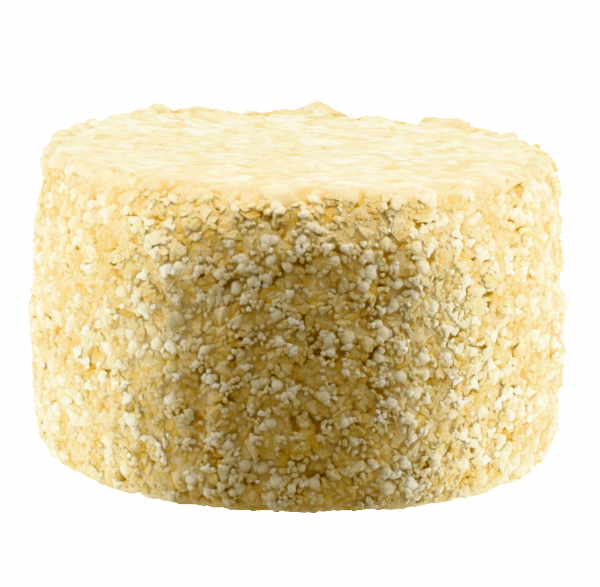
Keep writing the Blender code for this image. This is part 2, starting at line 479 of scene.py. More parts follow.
# Curd pressed flat by the mould's cloth, closed and moist: cream, nearly even, with a faint satin.
TOP_CURD = SkinFinish(
    name="pressed_curd",
    pale="F6EBC6", deep="F1E1AE", gap_shade="E8CC80", seam_shade_and_light="F6EBC6", white_pale="F9F4E0", white_deep="F7EFD4",
    roughness=0.55, glow=0.3, travel=(1.6, 1.1, 0.6),
    grit=Grit.KNOBS, grit_size=2.0, grit_height=0.08, lines=0.2,
)
# Fresh curd, full of air that scatters light at once: matt, opaque and nearly white.
WHITE_CURD = CurdFinish(
    name="white_curd",
    pale="FCF6E4", deep="F6EBCE", gap_shade="F0D27E", seam_shade_and_light="F0D898",
    roughness=0.7, glow=0.15, travel=(1.0, 0.8, 0.5),
    grit=Grit.KNOBS, grit_size=1.6, grit_height=0.1, lines=0.3,
)
# Ripened curd, closed and waxy, that breaks like a crystal: straw yellow, with a soft gloss on each facet.
WAXY_CURD = CurdFinish(
    name="waxy_curd",
    pale="F2E4BC", deep="E2C886", gap_shade="EBC054", seam_shade_and_light="F8EFD4",
    roughness=0.5, glow=0.2, travel=(1.0, 0.7, 0.35),
    grit=Grit.CRYSTAL, grit_size=1.5, grit_height=0.1, lines=0.4,
)


@dataclass
class DrumForm:
    """The drum's coarse form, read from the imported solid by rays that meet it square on.

    Attributes:
        columns: Points round the drum.
        rows: Rows of points from the foot to the edge of the top.
        rim_rounding: The rounding of the path that the rays start from, at the rim.
        foot_rounding: The same at the foot.
        rim_band: How far the wall's skin runs in over the top.
        foot_band: How far it runs in under the foot.
        stand_off: How far outside the path a ray starts.
        evening: Rounds of smoothing, which take the solid's facets away.
        broad_evening: Rounds that leave only the broad form. What they take off a crag is put back on it.
        crag_band: The height of the band under the top where that is done.
        inset: How far inside the belly's widest ring the path runs.
        let_out: How far the skin is let out, because the grains end a little inside the mould.
    """

    columns: int = 672
    rows: int = 145
    rim_rounding: float = 5.0 * MM
    foot_rounding: float = 10.0 * MM
    rim_band: float = 9.0 * MM
    foot_band: float = 2.0 * MM
    stand_off: float = 14.0 * MM
    evening: int = 16
    broad_evening: int = 32
    crag_band: float = 8.0 * MM
    inset: float = 4.0 * MM
    let_out: float = 0.6 * MM
    solid: BVHTree = field(init=False)
    radius: float = field(init=False)
    height: float = field(init=False)

    def __post_init__(self) -> None:
        """Reads the solid. A copy of its loose triangles is merged first."""
        shape = bmesh.new()
        shape.from_mesh(bpy.data.objects[NODE].data)
        bmesh.ops.remove_doubles(shape, verts=shape.verts, dist=0.01 * MM)
        self.solid = BVHTree.FromBMesh(shape)
        low, high = (Vector(corner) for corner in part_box(NODE))
        self.radius = (high.x - low.x) / 2
        # The top is as high as the mean of what lies well inside the rim.
        upper = [vert.co for vert in shape.verts if vert.co.z > high.z / 2]
        at_top = [place.z for place in upper if place.xy.length < 0.8 * self.radius]
        self.height = sum(at_top) / len(at_top)
        shape.free()

    def path(self) -> list[tuple[float, float, float, float]]:
        """The path from the foot up the wall to the edge of the top.

        Returns:
            Evenly spaced points: radius, height, and the direction out, as two shares.
        """
        wall = self.radius - self.inset
        rim, foot = self.rim_rounding, self.foot_rounding
        stretches: list[tuple[float, Any]] = [
            (self.foot_band, lambda t: (wall - foot - self.foot_band * (1 - t), 0.0, -90.0)),
            (foot * math.pi / 2, lambda t: (wall - foot, foot, -90.0 + 90.0 * t)),
            (self.height - rim - foot, lambda t: (wall, foot + (self.height - rim - foot) * t, 0.0)),
            (rim * math.pi / 2, lambda t: (wall - rim, self.height - rim, 90.0 * t)),
            (self.rim_band, lambda t: (wall - rim - self.rim_band * t, self.height, 90.0)),
        ]
        total = sum(length for length, _ in stretches)
        points = []
        for row in range(self.rows):
            along = total * row / (self.rows - 1)
            for number, (length, place) in enumerate(stretches):
                if along <= length or number == len(stretches) - 1:
                    radius, height, angle = place(min(along / length, 1.0))
                    break
                along -= length
            out, up = math.cos(math.radians(angle)), math.sin(math.radians(angle))
            bend = {1: foot, 3: rim}.get(number, 0.0)
            points.append((radius + bend * out, height + bend * up, out, up))
        return points

    def wall_places(self) -> np.ndarray:
        """Where the wall's skin lies on the solid.

        Returns:
            Points by row and column.
        """
        path = self.path()
        places = np.empty((self.rows, self.columns, 3))
        for column in range(self.columns):
            azimuth = math.tau * column / self.columns
            cos, sin = math.cos(azimuth), math.sin(azimuth)
            for row, (radius, height, out, up) in enumerate(path):
                away = Vector((out * cos, out * sin, up))
                start = Vector((radius * cos, radius * sin, height)) + away * self.stand_off
                hit, _, _, _ = self.solid.ray_cast(start, -away, 2 * self.stand_off)
                places[row, column] = hit or start - away * self.stand_off
        fine = self.evened(places, self.evening)
        lost = fine - self.evened(fine, self.broad_evening)
        at_rim = np.clip((fine[..., 2:] - self.height + self.crag_band) / self.crag_band, 0, 1)
        crisp = fine + lost * at_rim
        crisp[..., :2] *= 1 + self.let_out / self.radius
        return crisp

    @staticmethod
    def evened(places: np.ndarray, rounds: int) -> np.ndarray:
        """Smooths a closed ring of points by its neighbours, with its end rows kept.

        Args:
            places: Points by row and column.
            rounds: How many times.

        Returns:
            The smoothed points.
        """
        for _ in range(rounds):
            beside = (np.roll(places, 1, axis=1) + np.roll(places, -1, axis=1)) / 2
            above = places.copy()
            above[1:-1] = (places[2:] + places[:-2]) / 2
            places = 0.5 * places + 0.25 * beside + 0.25 * above
        return places

    def top_height(self, across: float, along: float) -> float:
        """The height of the solid's top at a spot.

        Args:
            across: The spot's X.
            along: The spot's Y.

        Returns:
            Its height.
        """
        start = Vector((across, along, self.height + self.stand_off))
        hit, _, _, _ = self.solid.ray_cast(start, Vector((0, 0, -1)), 2 * self.stand_off)
        return hit.z if hit else self.height


@dataclass(frozen=True)
class LumpSize:
    """One size of lump in the skin.

    Attributes:
        name: What the lumps are called.
        size: How far apart they lie, in metres.
        height: How high each one stands over the cracks round it.
        spread: How far one stands out past another.
    """

    name: str
    size: float
    height: float
    spread: float


LUMPS = (
    LumpSize("Clump", 8.0 * MM, 0.5 * MM, 0.5 * MM),
    LumpSize("Lump", 3.6 * MM, 0.5 * MM, 0.3 * MM),
)


WOBBLE_SIZE, WOBBLE_REACH = 4.5 * MM, 3.2 * MM  # how the cracks stray from straight lines
LUMP_SLOPE = 0.30  # the share of a lump's width over which it falls to a crack
GAPE_SIZE = 9.0 * MM  # the distance between stretches where the cracks gape
GAPE_NOISE = (0.525, 0.61)  # the noise values over which a crack opens up
GAPE_REACH = (0.16, 0.04)  # how near the crack's middle it falls, as shares of a clump's width
PRESS_BLEND = 0.5 * MM  # how softly the mould's face cuts a lump
DRIFT_SAY = 1.1  # how much the drifts have to say in what is white
SMALL_LUMP_SAY = 0.45  # how much the small lumps have to say in it, beside the clumps
WHITE_EDGE = 0.06  # how softly white curd ends
BARE_WHITE = 0.3  # how white the skin's white lumps are down between the grains
# The next three set where the skin is painted with the shade and glow of the gaps.
GAP_SHADE_LEVELS = (0.8 * MM, -0.7 * MM)  # the relief over which the skin takes the gaps' colour
BARE_GAP_SHADE = 0.3  # the least share of that colour down between the grains
PRESSED_GAP_SHADE_LOSS = 0.25  # how much less of it there is where the mould pressed


def relief_tree() -> Tree:
    """The tree that raises curd lumps on a plain skin.

    Returns:
        A tree that moves the skin along its normals and stores the values that materials and grains read.
    """
    numbers = {"Seed": 0.0, "White share": 0.7}
    for lump in LUMPS:
        numbers |= {f"{lump.name} {part}": getattr(lump, part) for part in ("size", "height", "spread")}
    numbers |= {"Crevice depth": 2.2 * MM, "Drawn in": 2.45 * MM}
    numbers |= {"Pressed level": 0.35 * MM, "Pressed share": 0.34}
    sockets: dict[str, tuple[str, Any]] = {
        name: ("NodeSocketFloat", value) for name, value in numbers.items()
    }
    tree = new_tree("curd_relief", sockets)
    given = tree.nodes["Group Input"].outputs
    place = add(tree, "GeometryNodeInputPosition").outputs[0]
    shift = add(tree, "ShaderNodeCombineXYZ", {axis: given["Seed"] for axis in range(3)}).outputs[0]
    moved = vectors(tree, "ADD", place, shift)
    wobble = vectors(tree, "SUBTRACT", noise(tree, moved, 1 / WOBBLE_SIZE, 2.0)["Color"], (0.5, 0.5, 0.5))
    warped = vectors(tree, "ADD", moved, vectors(tree, "SCALE", wobble, WOBBLE_REACH))
    total: Any = 0.0
    draws, edges = [], []
    for lump in LUMPS:
        cells = {"Vector": warped, "Scale": maths(tree, "DIVIDE", 1.0, given[f"{lump.name} size"])}
        cell = add(tree, "ShaderNodeTexVoronoi", cells).outputs["Color"]
        draws.append(add(tree, "FunctionNodeSeparateColor", {0: cell}).outputs)
        edges.append(add(tree, "ShaderNodeTexVoronoi", cells, feature="DISTANCE_TO_EDGE").outputs["Distance"])
        plateau = step(tree, edges[-1], 0.0, LUMP_SLOPE)
        drawn = maths(tree, "SUBTRACT", draws[-1][0], 0.5)
        outward = maths(tree, "MULTIPLY", drawn, given[f"{lump.name} spread"])
        swell = maths(tree, "MULTIPLY_ADD", plateau, given[f"{lump.name} height"], outward)
        total = maths(tree, "ADD", total, swell)
    # Some of the cracks between clumps gape.
    opening = step(tree, noise(tree, moved, 1 / GAPE_SIZE, 1.0)["Fac"], *GAPE_NOISE)
    crevice = maths(tree, "MULTIPLY", opening, step(tree, edges[0], *GAPE_REACH))
    total = maths(tree, "SUBTRACT", total, maths(tree, "MULTIPLY", crevice, given["Crevice depth"]))
    # The mould cuts lumps back where it pressed. Elsewhere the skin is drawn in, to leave room for grains.
    pressed = read(tree, PRESSED)
    cut = maths(tree, "SMOOTH_MIN", total, given["Pressed level"], PRESS_BLEND)
    low = maths(tree, "MULTIPLY", cut, given["Pressed share"])
    back = maths(tree, "SUBTRACT", total, given["Drawn in"])
    normal = add(tree, "GeometryNodeInputNormal").outputs[0]
    offset = vectors(tree, "SCALE", normal, mixed(tree, "FLOAT", pressed, back, low))
    # White curd lies in drifts: some lumps are white anywhere, and most are inside a drift.
    drift = noise(tree, place, 1 / DRIFT_SIZE, 2.0)["Fac"]
    chance = maths(tree, "MULTIPLY_ADD", drift, DRIFT_SAY, -DRIFT_SAY / 2)
    drawn = maths(tree, "ADD", mixed(tree, "FLOAT", SMALL_LUMP_SAY, draws[0][1], draws[1][1]), chance)
    sure = maths(tree, "ADD", given["White share"], WHITE_EDGE)
    anywhere = step(tree, drawn, given["White share"], sure)
    # Down between the grains the skin is mostly waxy curd, deep in colour.
    bared = maths(tree, "MULTIPLY_ADD", pressed, 1 - BARE_WHITE, BARE_WHITE)
    white = maths(tree, "MULTIPLY", anywhere, bared)
    # Down in the gaps the skin is painted with shade and glow, less where the mould pressed it.
    left = maths(tree, "MULTIPLY_ADD", pressed, -PRESSED_GAP_SHADE_LOSS, 1.0)
    gap_shade = maths(tree, "MULTIPLY", step(tree, total, *GAP_SHADE_LEVELS), left)
    hollow = maths(tree, "MAXIMUM", gap_shade, maths(tree, "MULTIPLY_ADD", pressed, -BARE_GAP_SHADE, BARE_GAP_SHADE))
    shape = given["Geometry"]
    for name, value in ((WHITE, white), (HOLLOW_SHADE, hollow), (TONE, draws[1][2]), (DRIFT, drift)):
        shape = stored(tree, shape, name, value)
    for name, value in ((MOULD, place), (OUTWARD, normal)):
        shape = stored(tree, shape, name, value, "FLOAT_VECTOR")
    raised = add(tree, "GeometryNodeSetPosition", {"Geometry": shape, "Offset": offset}).outputs[0]
    give(tree, add(tree, "GeometryNodeRealizeInstances", {0: raised}).outputs[0])
    return tree


def store(mesh: bpy.types.Mesh, name: str, values: Iterable[float]) -> None:
    """Stores one number for each of a mesh's points."""
    mesh.attributes.new(name, "FLOAT", "POINT").data.foreach_set("value", np.asarray(values, np.float32))


@dataclass
class WallSkin:
    """The wall's skin with its foot, its rim and the flat base.

    Attributes:
        form: The drum's coarse form.
        finish: The curd's finish.
        dip: How far the skin dives under the pressed top at its inner edge.
        rim_level: How high lumps stand at the rim, where the mould pressed them less than on the top.
        rim_share: The share of their relief that is left there.
        dive_from: How far in from the drum's side the dive starts.
        dive_band: How far in it takes.
        pressed_band: The width of the bands that turn from pressed to loose lumps, over and round the rim.
        rim_band: How far under the top the pressed band starts.
        foot_band: The height of the pressed foot.
    """

    form: DrumForm
    finish: CurdFinish = WALL_CURD
    dip: float = 3.0 * MM
    rim_level: float = 0.8 * MM
    rim_share: float = 0.85
    dive_from: float = 13.0 * MM
    dive_band: float = 4.0 * MM
    pressed_band: float = 5.0 * MM
    rim_band: float = 4.0 * MM
    foot_band: float = 3.0 * MM

    def mesh(self) -> bpy.types.Mesh:
        """Builds the plain skin.

        Returns:
            A closed mesh with the pressed value on its points.
        """
        places = self.form.wall_places()
        rows, columns = places.shape[:2]
        drum_radius, drum_height = self.form.radius, self.form.height
        radius = np.hypot(places[..., 0], places[..., 1])
        inner = np.clip((drum_radius - self.dive_from - radius) / self.dive_band, 0, 1)
        upper = places[..., 2] > drum_height / 2
        places[..., 2] -= self.dip * inner * upper
        shape = bmesh.new()
        verts = [[shape.verts.new(places[row, column]) for column in range(columns)] for row in range(rows)]
        for row in range(rows - 1):
            for column in range(columns):
                after = (column + 1) % columns
                ring, following = verts[row], verts[row + 1]
                shape.faces.new((ring[column], ring[after], following[after], following[column]))
        for vert in verts[0]:
            vert.co.z = 0.0
        shape.faces.new(reversed(verts[0]))
        shape.faces.new(verts[-1])
        mesh = as_mesh(shape, "curd_wall")
        radius = np.array([vert.co.xy.length for vert in mesh.vertices])
        height = np.array([vert.co.z for vert in mesh.vertices])
        band = self.pressed_band
        inwards = np.clip((drum_radius - band - radius) / band, 0, 1) * (height > drum_height / 2)
        upwards = np.clip((height - drum_height + self.rim_band) / band, 0, 1)
        downwards = np.clip((self.foot_band - height) / self.foot_band, 0, 1)
        store(mesh, PRESSED, np.maximum.reduce([inwards, upwards, downwards]))
        return mesh

    def build(self, tree: Tree) -> bpy.types.Object:
        """Builds and dresses the wall.

        Args:
            tree: The tree that raises the curd lumps.

        Returns:
            The finished piece.
        """
        values: dict[str, Any] = {"Material": self.finish.material()}
        values |= {"Pressed level": self.rim_level, "Pressed share": self.rim_share}
        piece = grown("curd_wall", self.mesh(), tree, values)
        for vert in piece.data.vertices:
            vert.co.z = max(vert.co.z, 0.0)
        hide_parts(NODE)
        hand_over(piece)
        return piece


@dataclass
class PressedTop:
    """The pressed top, a thin slab whose edge dives into the wall's skin.

    Attributes:
        form: The drum's coarse form.
        finish: The curd's finish.
        spacing: The distance between its points.
        radius: How far it reaches.
        sunk_band: The width of the edge that dives.
        thickness: How deep its underside lies.
        white_share: The share under which a lump's draw leaves it waxy.
    """

    form: DrumForm
    finish: CurdFinish = TOP_CURD
    spacing: float = 0.62 * MM
    radius: float = 76.0 * MM
    sunk_band: float = 5.0 * MM
    thickness: float = 6.0 * MM
    white_share: float = 0.5

    def mesh(self) -> bpy.types.Mesh:
        """Builds the plain slab.

        Returns:
            A closed mesh with the pressed value on its points.
        """
        count = int(self.radius / self.spacing) + 2
        shape = bmesh.new()
        verts: dict[tuple[int, int], Any] = {}
        cells = [
            (across, along)
            for across in range(-count, count)
            for along in range(-count, count)
            if math.hypot(across + 0.5, along + 0.5) * self.spacing < self.radius - self.spacing
        ]
        for cell in cells:
            for corner in ((0, 0), (1, 0), (1, 1), (0, 1)):
                key = (cell[0] + corner[0], cell[1] + corner[1])
                if key not in verts:
                    x, y = key[0] * self.spacing, key[1] * self.spacing
                    sunk = max(0.0, math.hypot(x, y) - self.radius + self.sunk_band) / self.sunk_band
                    z = self.form.top_height(x, y) - self.thickness * min(sunk, 1.0) ** 1.5
                    verts[key] = shape.verts.new((x, y, z))
        for across, along in cells:
            around = ((across, along), (across + 1, along), (across + 1, along + 1), (across, along + 1))
            shape.faces.new([verts[key] for key in around])
        rim = [edge for edge in shape.edges if edge.is_boundary]
        skirt = bmesh.ops.extrude_edge_only(shape, edges=rim)["geom"]
        lower = [item for item in skirt if isinstance(item, bmesh.types.BMVert)]
        for vert in lower:
            vert.co.z = self.form.height - 2 * self.thickness
        under = [item for item in skirt if isinstance(item, bmesh.types.BMEdge) and item.is_boundary]
        bmesh.ops.edgeloop_fill(shape, edges=under)
        bmesh.ops.recalc_face_normals(shape, faces=shape.faces)
        mesh = as_mesh(shape, "pressed_top")
        store(mesh, PRESSED, [1.0] * len(mesh.vertices))
        return mesh

    def build(self, tree: Tree) -> bpy.types.Object:
        """Builds and dresses the top.

        Args:
            tree: The tree that raises the curd lumps.

        Returns:
            The finished piece.
        """
        values = {"Material": self.finish.material(), "White share": self.white_share}
        piece = grown("pressed_top", self.mesh(), tree, values)
        hand_over(piece)
        return piece


class GrainShape(Enum):
    """How a grain was formed."""

    KNOBBLY = "a ball of fresh curd with smaller balls fused to it"
    SLAB = "a broad waxy lump"
    BROKEN = "a chip with sharp broken faces"
    BIT = "a small piece of a chip"


# The next two set how a grain is painted with the shade and glow of the gaps, by its depth.
GRAIN_GAP_SHADE_LEVELS = (-0.6 * MM, -2.1 * MM)  # the depths over which a grain's colour turns to the gaps'
GRAIN_GAP_SHADE_SHARE = 0.85  # how far it turns
LEVEL_SPREAD = 0.5 * MM  # how far grains of one kind stand out unequally
DRIFT_EDGE = 0.16  # the noise values over which a drift of white curd ends
PRESSED_KEEP_OFF = 1.5  # how fast grains thin out towards what the mould pressed
CRACK_KEEP_OFF = 0.8  # the share of grains that keep off an open crack


def scatter_tree() -> Tree:
    """The tree that sets one kind of grain at its spots and presses it to the mould.

    Returns:
        A tree with named inputs.
    """
    tree = new_tree(
        "curd_grains",
        {
            "Tilt": ("NodeSocketFloat", 0.25),
            "Mould level": ("NodeSocketFloat", -0.25 * MM),
            "Left standing": ("NodeSocketFloat", 0.3),
            "Shape count": ("NodeSocketInt", 8),
            "Seed": ("NodeSocketInt", 0),
            "Grains": ("NodeSocketCollection", None),
        },
    )
    given = tree.nodes["Group Input"].outputs
    mould, outward = (read(tree, name, "FLOAT_VECTOR") for name in (MOULD, OUTWARD))
    seed = {"Seed": given["Seed"]}
    lean = maths(tree, "MULTIPLY", given["Tilt"], -1.0)
    least = add(tree, "ShaderNodeCombineXYZ", {0: lean, 1: lean, 2: -math.pi}).outputs[0]
    most = add(tree, "ShaderNodeCombineXYZ", {0: given["Tilt"], 1: given["Tilt"], 2: math.pi}).outputs[0]
    tilts = {0: least, 1: most, **seed}
    tilt = add(tree, "FunctionNodeRandomValue", tilts, data_type="FLOAT_VECTOR").outputs[0]
    turns = {
        "Rotation": add(tree, "FunctionNodeAlignRotationToVector", {"Vector": outward}, axis="Z").outputs[0],
        "Rotate By": add(tree, "FunctionNodeEulerToRotation", {0: tilt}).outputs[0],
    }
    shapes = {"Collection": given["Grains"], "Separate Children": True, "Reset Children": True}
    counts = {4: 0, 5: maths(tree, "SUBTRACT", given["Shape count"], 1.0), **seed}
    settings = {
        "Points": given["Geometry"],
        "Instance": add(tree, "GeometryNodeCollectionInfo", shapes).outputs[0],
        "Pick Instance": True,
        "Instance Index": add(tree, "FunctionNodeRandomValue", counts, data_type="INT").outputs[2],
        "Rotation": add(tree, "FunctionNodeRotateRotation", turns, rotation_space="LOCAL").outputs[0],
        "Scale": read(tree, WIDTH),
    }
    grains = add(tree, "GeometryNodeInstanceOnPoints", settings).outputs[0]
    tone = add(tree, "FunctionNodeRandomValue", seed, data_type="FLOAT").outputs[1]
    toned = stored(tree, grains, TONE, tone, domain="INSTANCE")
    whole = add(tree, "GeometryNodeRealizeInstances", {0: toned}).outputs[0]
    # The mould pressed flat whatever stood out past it.
    place = add(tree, "GeometryNodeInputPosition").outputs[0]
    level = vectors(tree, "DOT_PRODUCT", vectors(tree, "SUBTRACT", place, mould), outward)
    excess = maths(tree, "MAXIMUM", maths(tree, "SUBTRACT", level, given["Mould level"]), 0.0)
    back = maths(tree, "MULTIPLY", excess, maths(tree, "SUBTRACT", given["Left standing"], 1.0))
    # Down between the grains the grains take painted shade and the painted glow of light that has gone
    # through a lot of curd.
    shape = stored(tree, whole, HOLLOW_SHADE, step(tree, level, *GRAIN_GAP_SHADE_LEVELS, high=GRAIN_GAP_SHADE_SHARE))
    push = vectors(tree, "SCALE", outward, back)
    shape = add(tree, "GeometryNodeSetPosition", {"Geometry": shape, "Offset": push}).outputs[0]
    for name in (MOULD, OUTWARD, WIDTH):
        shape = add(tree, "GeometryNodeRemoveAttribute", {"Geometry": shape, "Name": name}).outputs[0]
    give(tree, shape)
    return tree


@dataclass
class Bed:
    """The wall as a bed for grains, which are packed into it kind by kind.

    Attributes:
        wall: The wall's skin.
        square: The side of a square of the chart that spots are looked up in.
        taken: The spots taken so far, with their widths, by square.
        triangles: The three points of each of the wall's triangles.
        values: What each point holds: its mould spot, its way out, and how pressed, hollow and drifted it is.
        areas: Twice each triangle's area.
    """

    wall: bpy.types.Object
    square: float = 6.0 * MM
    taken: dict[tuple[int, int], list[tuple[Vector, float]]] = field(default_factory=dict)
    triangles: np.ndarray = field(init=False)
    values: np.ndarray = field(init=False)
    areas: np.ndarray = field(init=False)

    def __post_init__(self) -> None:
        """Reads the wall's triangles and the values on its points."""
        mesh = self.wall.data
        mesh.calc_loop_triangles()
        corners = np.empty(3 * len(mesh.loop_triangles), np.int32)
        mesh.loop_triangles.foreach_get("vertices", corners)
        self.triangles = corners.reshape(-1, 3)
        columns = []
        for name in (MOULD, OUTWARD, PRESSED, HOLLOW_SHADE, DRIFT):
            values = mesh.attributes[name]
            part, wide = ("vector", 3) if values.data_type == "FLOAT_VECTOR" else ("value", 1)
            column = np.empty(wide * len(mesh.vertices), np.float32)
            values.data.foreach_get(part, column)
            columns.append(column.reshape(-1, wide))
        self.values = np.hstack(columns)
        places = self.values[self.triangles][..., :3]
        across = np.cross(places[:, 1] - places[:, 0], places[:, 2] - places[:, 0])
        self.areas = np.linalg.norm(across, axis=1).astype(float)

    def take(self, place: Vector, width: float, closeness: float) -> bool:
        """Takes a spot if its grain doesn't run too far into another one.

        Args:
            place: The spot.
            width: The grain's width.
            closeness: The least distance between two grains, as a share of half their widths' sum.

        Returns:
            True if the spot was taken.
        """
        turn = math.atan2(place.y, place.x)
        squares_round = int(math.tau * place.xy.length / self.square)
        column, row = int((turn / math.tau + 0.5) * squares_round), int(place.z / self.square)
        for side in (-1, 0, 1):
            for rise in (-1, 0, 1):
                for other, other_width in self.taken.get(((column + side) % squares_round, row + rise), ()):
                    if (other - place).length < closeness * (width + other_width) / 2:
                        return False
        self.taken.setdefault((column % squares_round, row), []).append((place, width))
        return True

    @staticmethod
    def welcome(pull: float, values: np.ndarray) -> np.ndarray:
        """Says how likely a grain is to be set at each of many spots.

        Args:
            pull: How the kind keeps to the drifts of white curd, or off them.
            values: How pressed, hollow and drifted each spot is.

        Returns:
            A share for each spot.
        """
        pressed, hollow, drift = values.T
        inside = np.clip((drift - DRIFT_LEVEL + DRIFT_EDGE / 2) / DRIFT_EDGE, 0, 1)
        if pull < 0:
            liked = np.clip(1.0 + pull * (2 * inside - 1), 0, 1)
        else:
            liked = 1.0 - pull * (1 - inside)
        return liked * (np.clip(1 - PRESSED_KEEP_OFF * pressed, 0, 1) * (1 - CRACK_KEEP_OFF * hollow**4))

    def pack(self, kind: "Grains") -> bpy.types.Mesh:
        """Finds spots for one kind of grain, its largest grains first.

        Args:
            kind: The kind.

        Returns:
            A mesh with one loose point for each grain and the values its tree needs.
        """
        chance = np.random.default_rng(kind.seed)
        picks = chance.choice(len(self.areas), kind.tries, p=self.areas / self.areas.sum())
        shares = chance.dirichlet((1.0, 1.0, 1.0), kind.tries)
        drawn = (self.values[self.triangles[picks]] * shares[..., None]).sum(axis=1)
        growth = np.sort(chance.random(kind.tries) ** kind.skew)[::-1]
        widths = kind.smallest + (kind.largest - kind.smallest) * growth
        level = kind.level - LEVEL_SPREAD * chance.random(kind.tries)
        kept = np.nonzero(chance.random(kind.tries) < self.welcome(kind.drift_pull, drawn[:, 6:]))[0]
        spots = []
        for number in kept:
            mould, outward = Vector(drawn[number, :3]), Vector(drawn[number, 3:6]).normalized()
            width = widths[number]
            if self.take(mould, width, kind.closeness):
                spots.append((mould, outward, width, level[number] - kind.half_height * width))
        mesh = bpy.data.meshes.new(f"{kind.name}_spots")
        mesh.from_pydata([mould + outward * out for mould, outward, _, out in spots], [], [])
        store(mesh, WIDTH, [width for _, _, width, _ in spots])
        for name, place in ((MOULD, 0), (OUTWARD, 1)):
            values = np.array([spot[place] for spot in spots], np.float32)
            mesh.attributes.new(name, "FLOAT_VECTOR", "POINT").data.foreach_set("vector", values.ravel())
        return mesh


@dataclass
class Grains:
    """All grains of one kind, set into the skin.

    Attributes:
        name: The piece's name.
        shape: How its grains were formed.
        finish: Their finish.
        tries: How many spots are tried.
        smallest: The smallest grain's width.
        largest: The largest grain's width.
        seed: Starts the random draws.
        level: How far the tops stand out past the mould at most.
        half_height: A grain's height over its middle, as a share of its width.
        drift_pull: Over 0, how few of them lie outside the drifts of white curd. Under 0, how few inside.
        closeness: The least distance between two grains, as a share of half their widths' sum.
        skew: Over 1 where small grains outnumber large ones.
        variants: How many unlike shapes there are.
    """

    name: str
    shape: GrainShape
    finish: CurdFinish
    tries: int
    smallest: float
    largest: float
    seed: int
    level: float = 0.4 * MM
    half_height: float = 0.4
    drift_pull: float = 0.0
    closeness: float = 0.86
    skew: float = 1.6
    variants: int = 10

    def template(self, number: int) -> bpy.types.Object:
        """Makes one shape of grain, about 1 m wide, which its spots shrink to size.

        Args:
            number: Which of the unlike shapes.

        Returns:
            The grain, which lies in no collection yet.
        """
        draw = random.Random(self.seed * 100 + number)
        shape = bmesh.new()
        if self.shape is GrainShape.KNOBBLY:
            self.fuse_balls(shape, draw)
        else:
            self.break_chip(shape, draw)
        shape.normal_update()
        smooth = self.shape in (GrainShape.KNOBBLY, GrainShape.SLAB)
        mesh = as_mesh(shape, f"{self.name}_{number}", smooth)
        return bpy.data.objects.new(mesh.name, mesh)

    def fuse_balls(self, shape: bmesh.types.BMesh, draw: random.Random) -> None:
        """Makes a knobbly grain: a few uneven knobs, sized as shares of its width, that run into each other.

        Args:
            shape: Gets the grain.
            draw: The source of chance.
        """
        turn = draw.uniform(0, math.tau)
        knobs = draw.choice((2, 3, 3))
        self.add_hull(shape, draw, (0.0, 0.0, 0.0), draw.uniform(0.30, 0.37), (1.0, 1.0, 0.95), 18)
        for number in range(knobs):
            angle = turn + math.tau * number / knobs + draw.uniform(-0.5, 0.5)
            reach, size = draw.uniform(0.24, 0.34), draw.uniform(0.18, 0.27)
            spot = (reach * math.cos(angle), reach * math.sin(angle), draw.uniform(-0.08, 0.12))
            self.add_hull(shape, draw, spot, size, (1.0, 1.0, 0.95), 12)

    def break_chip(self, shape: bmesh.types.BMesh, draw: random.Random) -> None:
        """Makes a chip: broken pieces, sized as shares of its width, that lie fused side by side.

        Args:
            shape: Gets the chip.
            draw: The source of chance.
        """
        kinds = {GrainShape.BIT: (1, 12), GrainShape.BROKEN: (3, 10), GrainShape.SLAB: (5, 14)}
        pieces, points = kinds[self.shape]
        rise = 0.5 if self.shape is GrainShape.SLAB else 0.9
        if pieces == 1:
            self.add_hull(shape, draw, (0.0, 0.0, 0.0), 0.5, (draw.uniform(0.95, 1.35), 0.85, rise), points)
            return
        turn = draw.uniform(0, math.tau)
        for number in range(pieces):
            angle = turn + math.tau * number / pieces + draw.uniform(-0.4, 0.4)
            reach = draw.uniform(0.12, 0.28)
            spot = (reach * math.cos(angle), reach * math.sin(angle), draw.uniform(-0.05, 0.03))
            stretch = (draw.uniform(0.8, 1.35), draw.uniform(0.65, 1.0), rise * draw.uniform(0.85, 1.1))
            self.add_hull(shape, draw, spot, draw.uniform(0.26, 0.4), stretch, points)

    @staticmethod
    def add_hull(
        shape: bmesh.types.BMesh,
        draw: random.Random,
        spot: tuple[float, float, float],
        radius: float,
        stretch: tuple[float, float, float],
        points: int,
    ) -> None:
        """Adds the hull of a few points that lie evenly on an uneven ball.

        Args:
            shape: Gets the hull.
            draw: The source of chance.
            spot: Its middle.
            radius: The ball's radius.
            stretch: How far it is drawn out along each axis.
            points: How many points.
        """
        spin = draw.uniform(0, math.tau)
        verts = []
        for number in range(points):
            rise = 1 - 2 * (number + 0.5) / points
            angle = spin + number * 2.4 + draw.uniform(-0.25, 0.25)
            across = math.sqrt(1 - rise * rise)
            reach = radius * draw.uniform(0.78, 1.12)
            place = (across * math.cos(angle), across * math.sin(angle), rise)
            corner = [at + reach * by * share for at, by, share in zip(spot, stretch, place)]
            verts.append(shape.verts.new(corner))
        made = bmesh.ops.convex_hull(shape, input=verts)
        inside = [item for item in made["geom_interior"] if isinstance(item, bmesh.types.BMVert)]
        bmesh.ops.delete(shape, geom=inside, context="VERTS")
        faces = {face for vert in verts if vert.is_valid for face in vert.link_faces}
        bmesh.ops.recalc_face_normals(shape, faces=list(faces))

    def build(self, bed: Bed, tree: Tree) -> bpy.types.Object:
        """Packs, sets and dresses the grains.

        Args:
            bed: The bed that they are packed into.
            tree: The tree that sets them at their spots.

        Returns:
            The finished piece.
        """
        store_room = bpy.data.collections.new(f"{self.name}_shapes")
        shapes = [self.template(number) for number in range(self.variants)]
        for shape in shapes:
            store_room.objects.link(shape)
        values: dict[str, Any] = {"Material": self.finish.material(), "Grains": store_room}
        values |= {"Shape count": self.variants, "Seed": self.seed}
        piece = grown(self.name, bed.pack(self), tree, values)
        for shape in shapes:
            bpy.data.objects.remove(shape)
        bpy.data.collections.remove(store_room)
        for vert in piece.data.vertices:
            vert.co.z = max(vert.co.z, 0.0)
        hand_over(piece)
        return piece


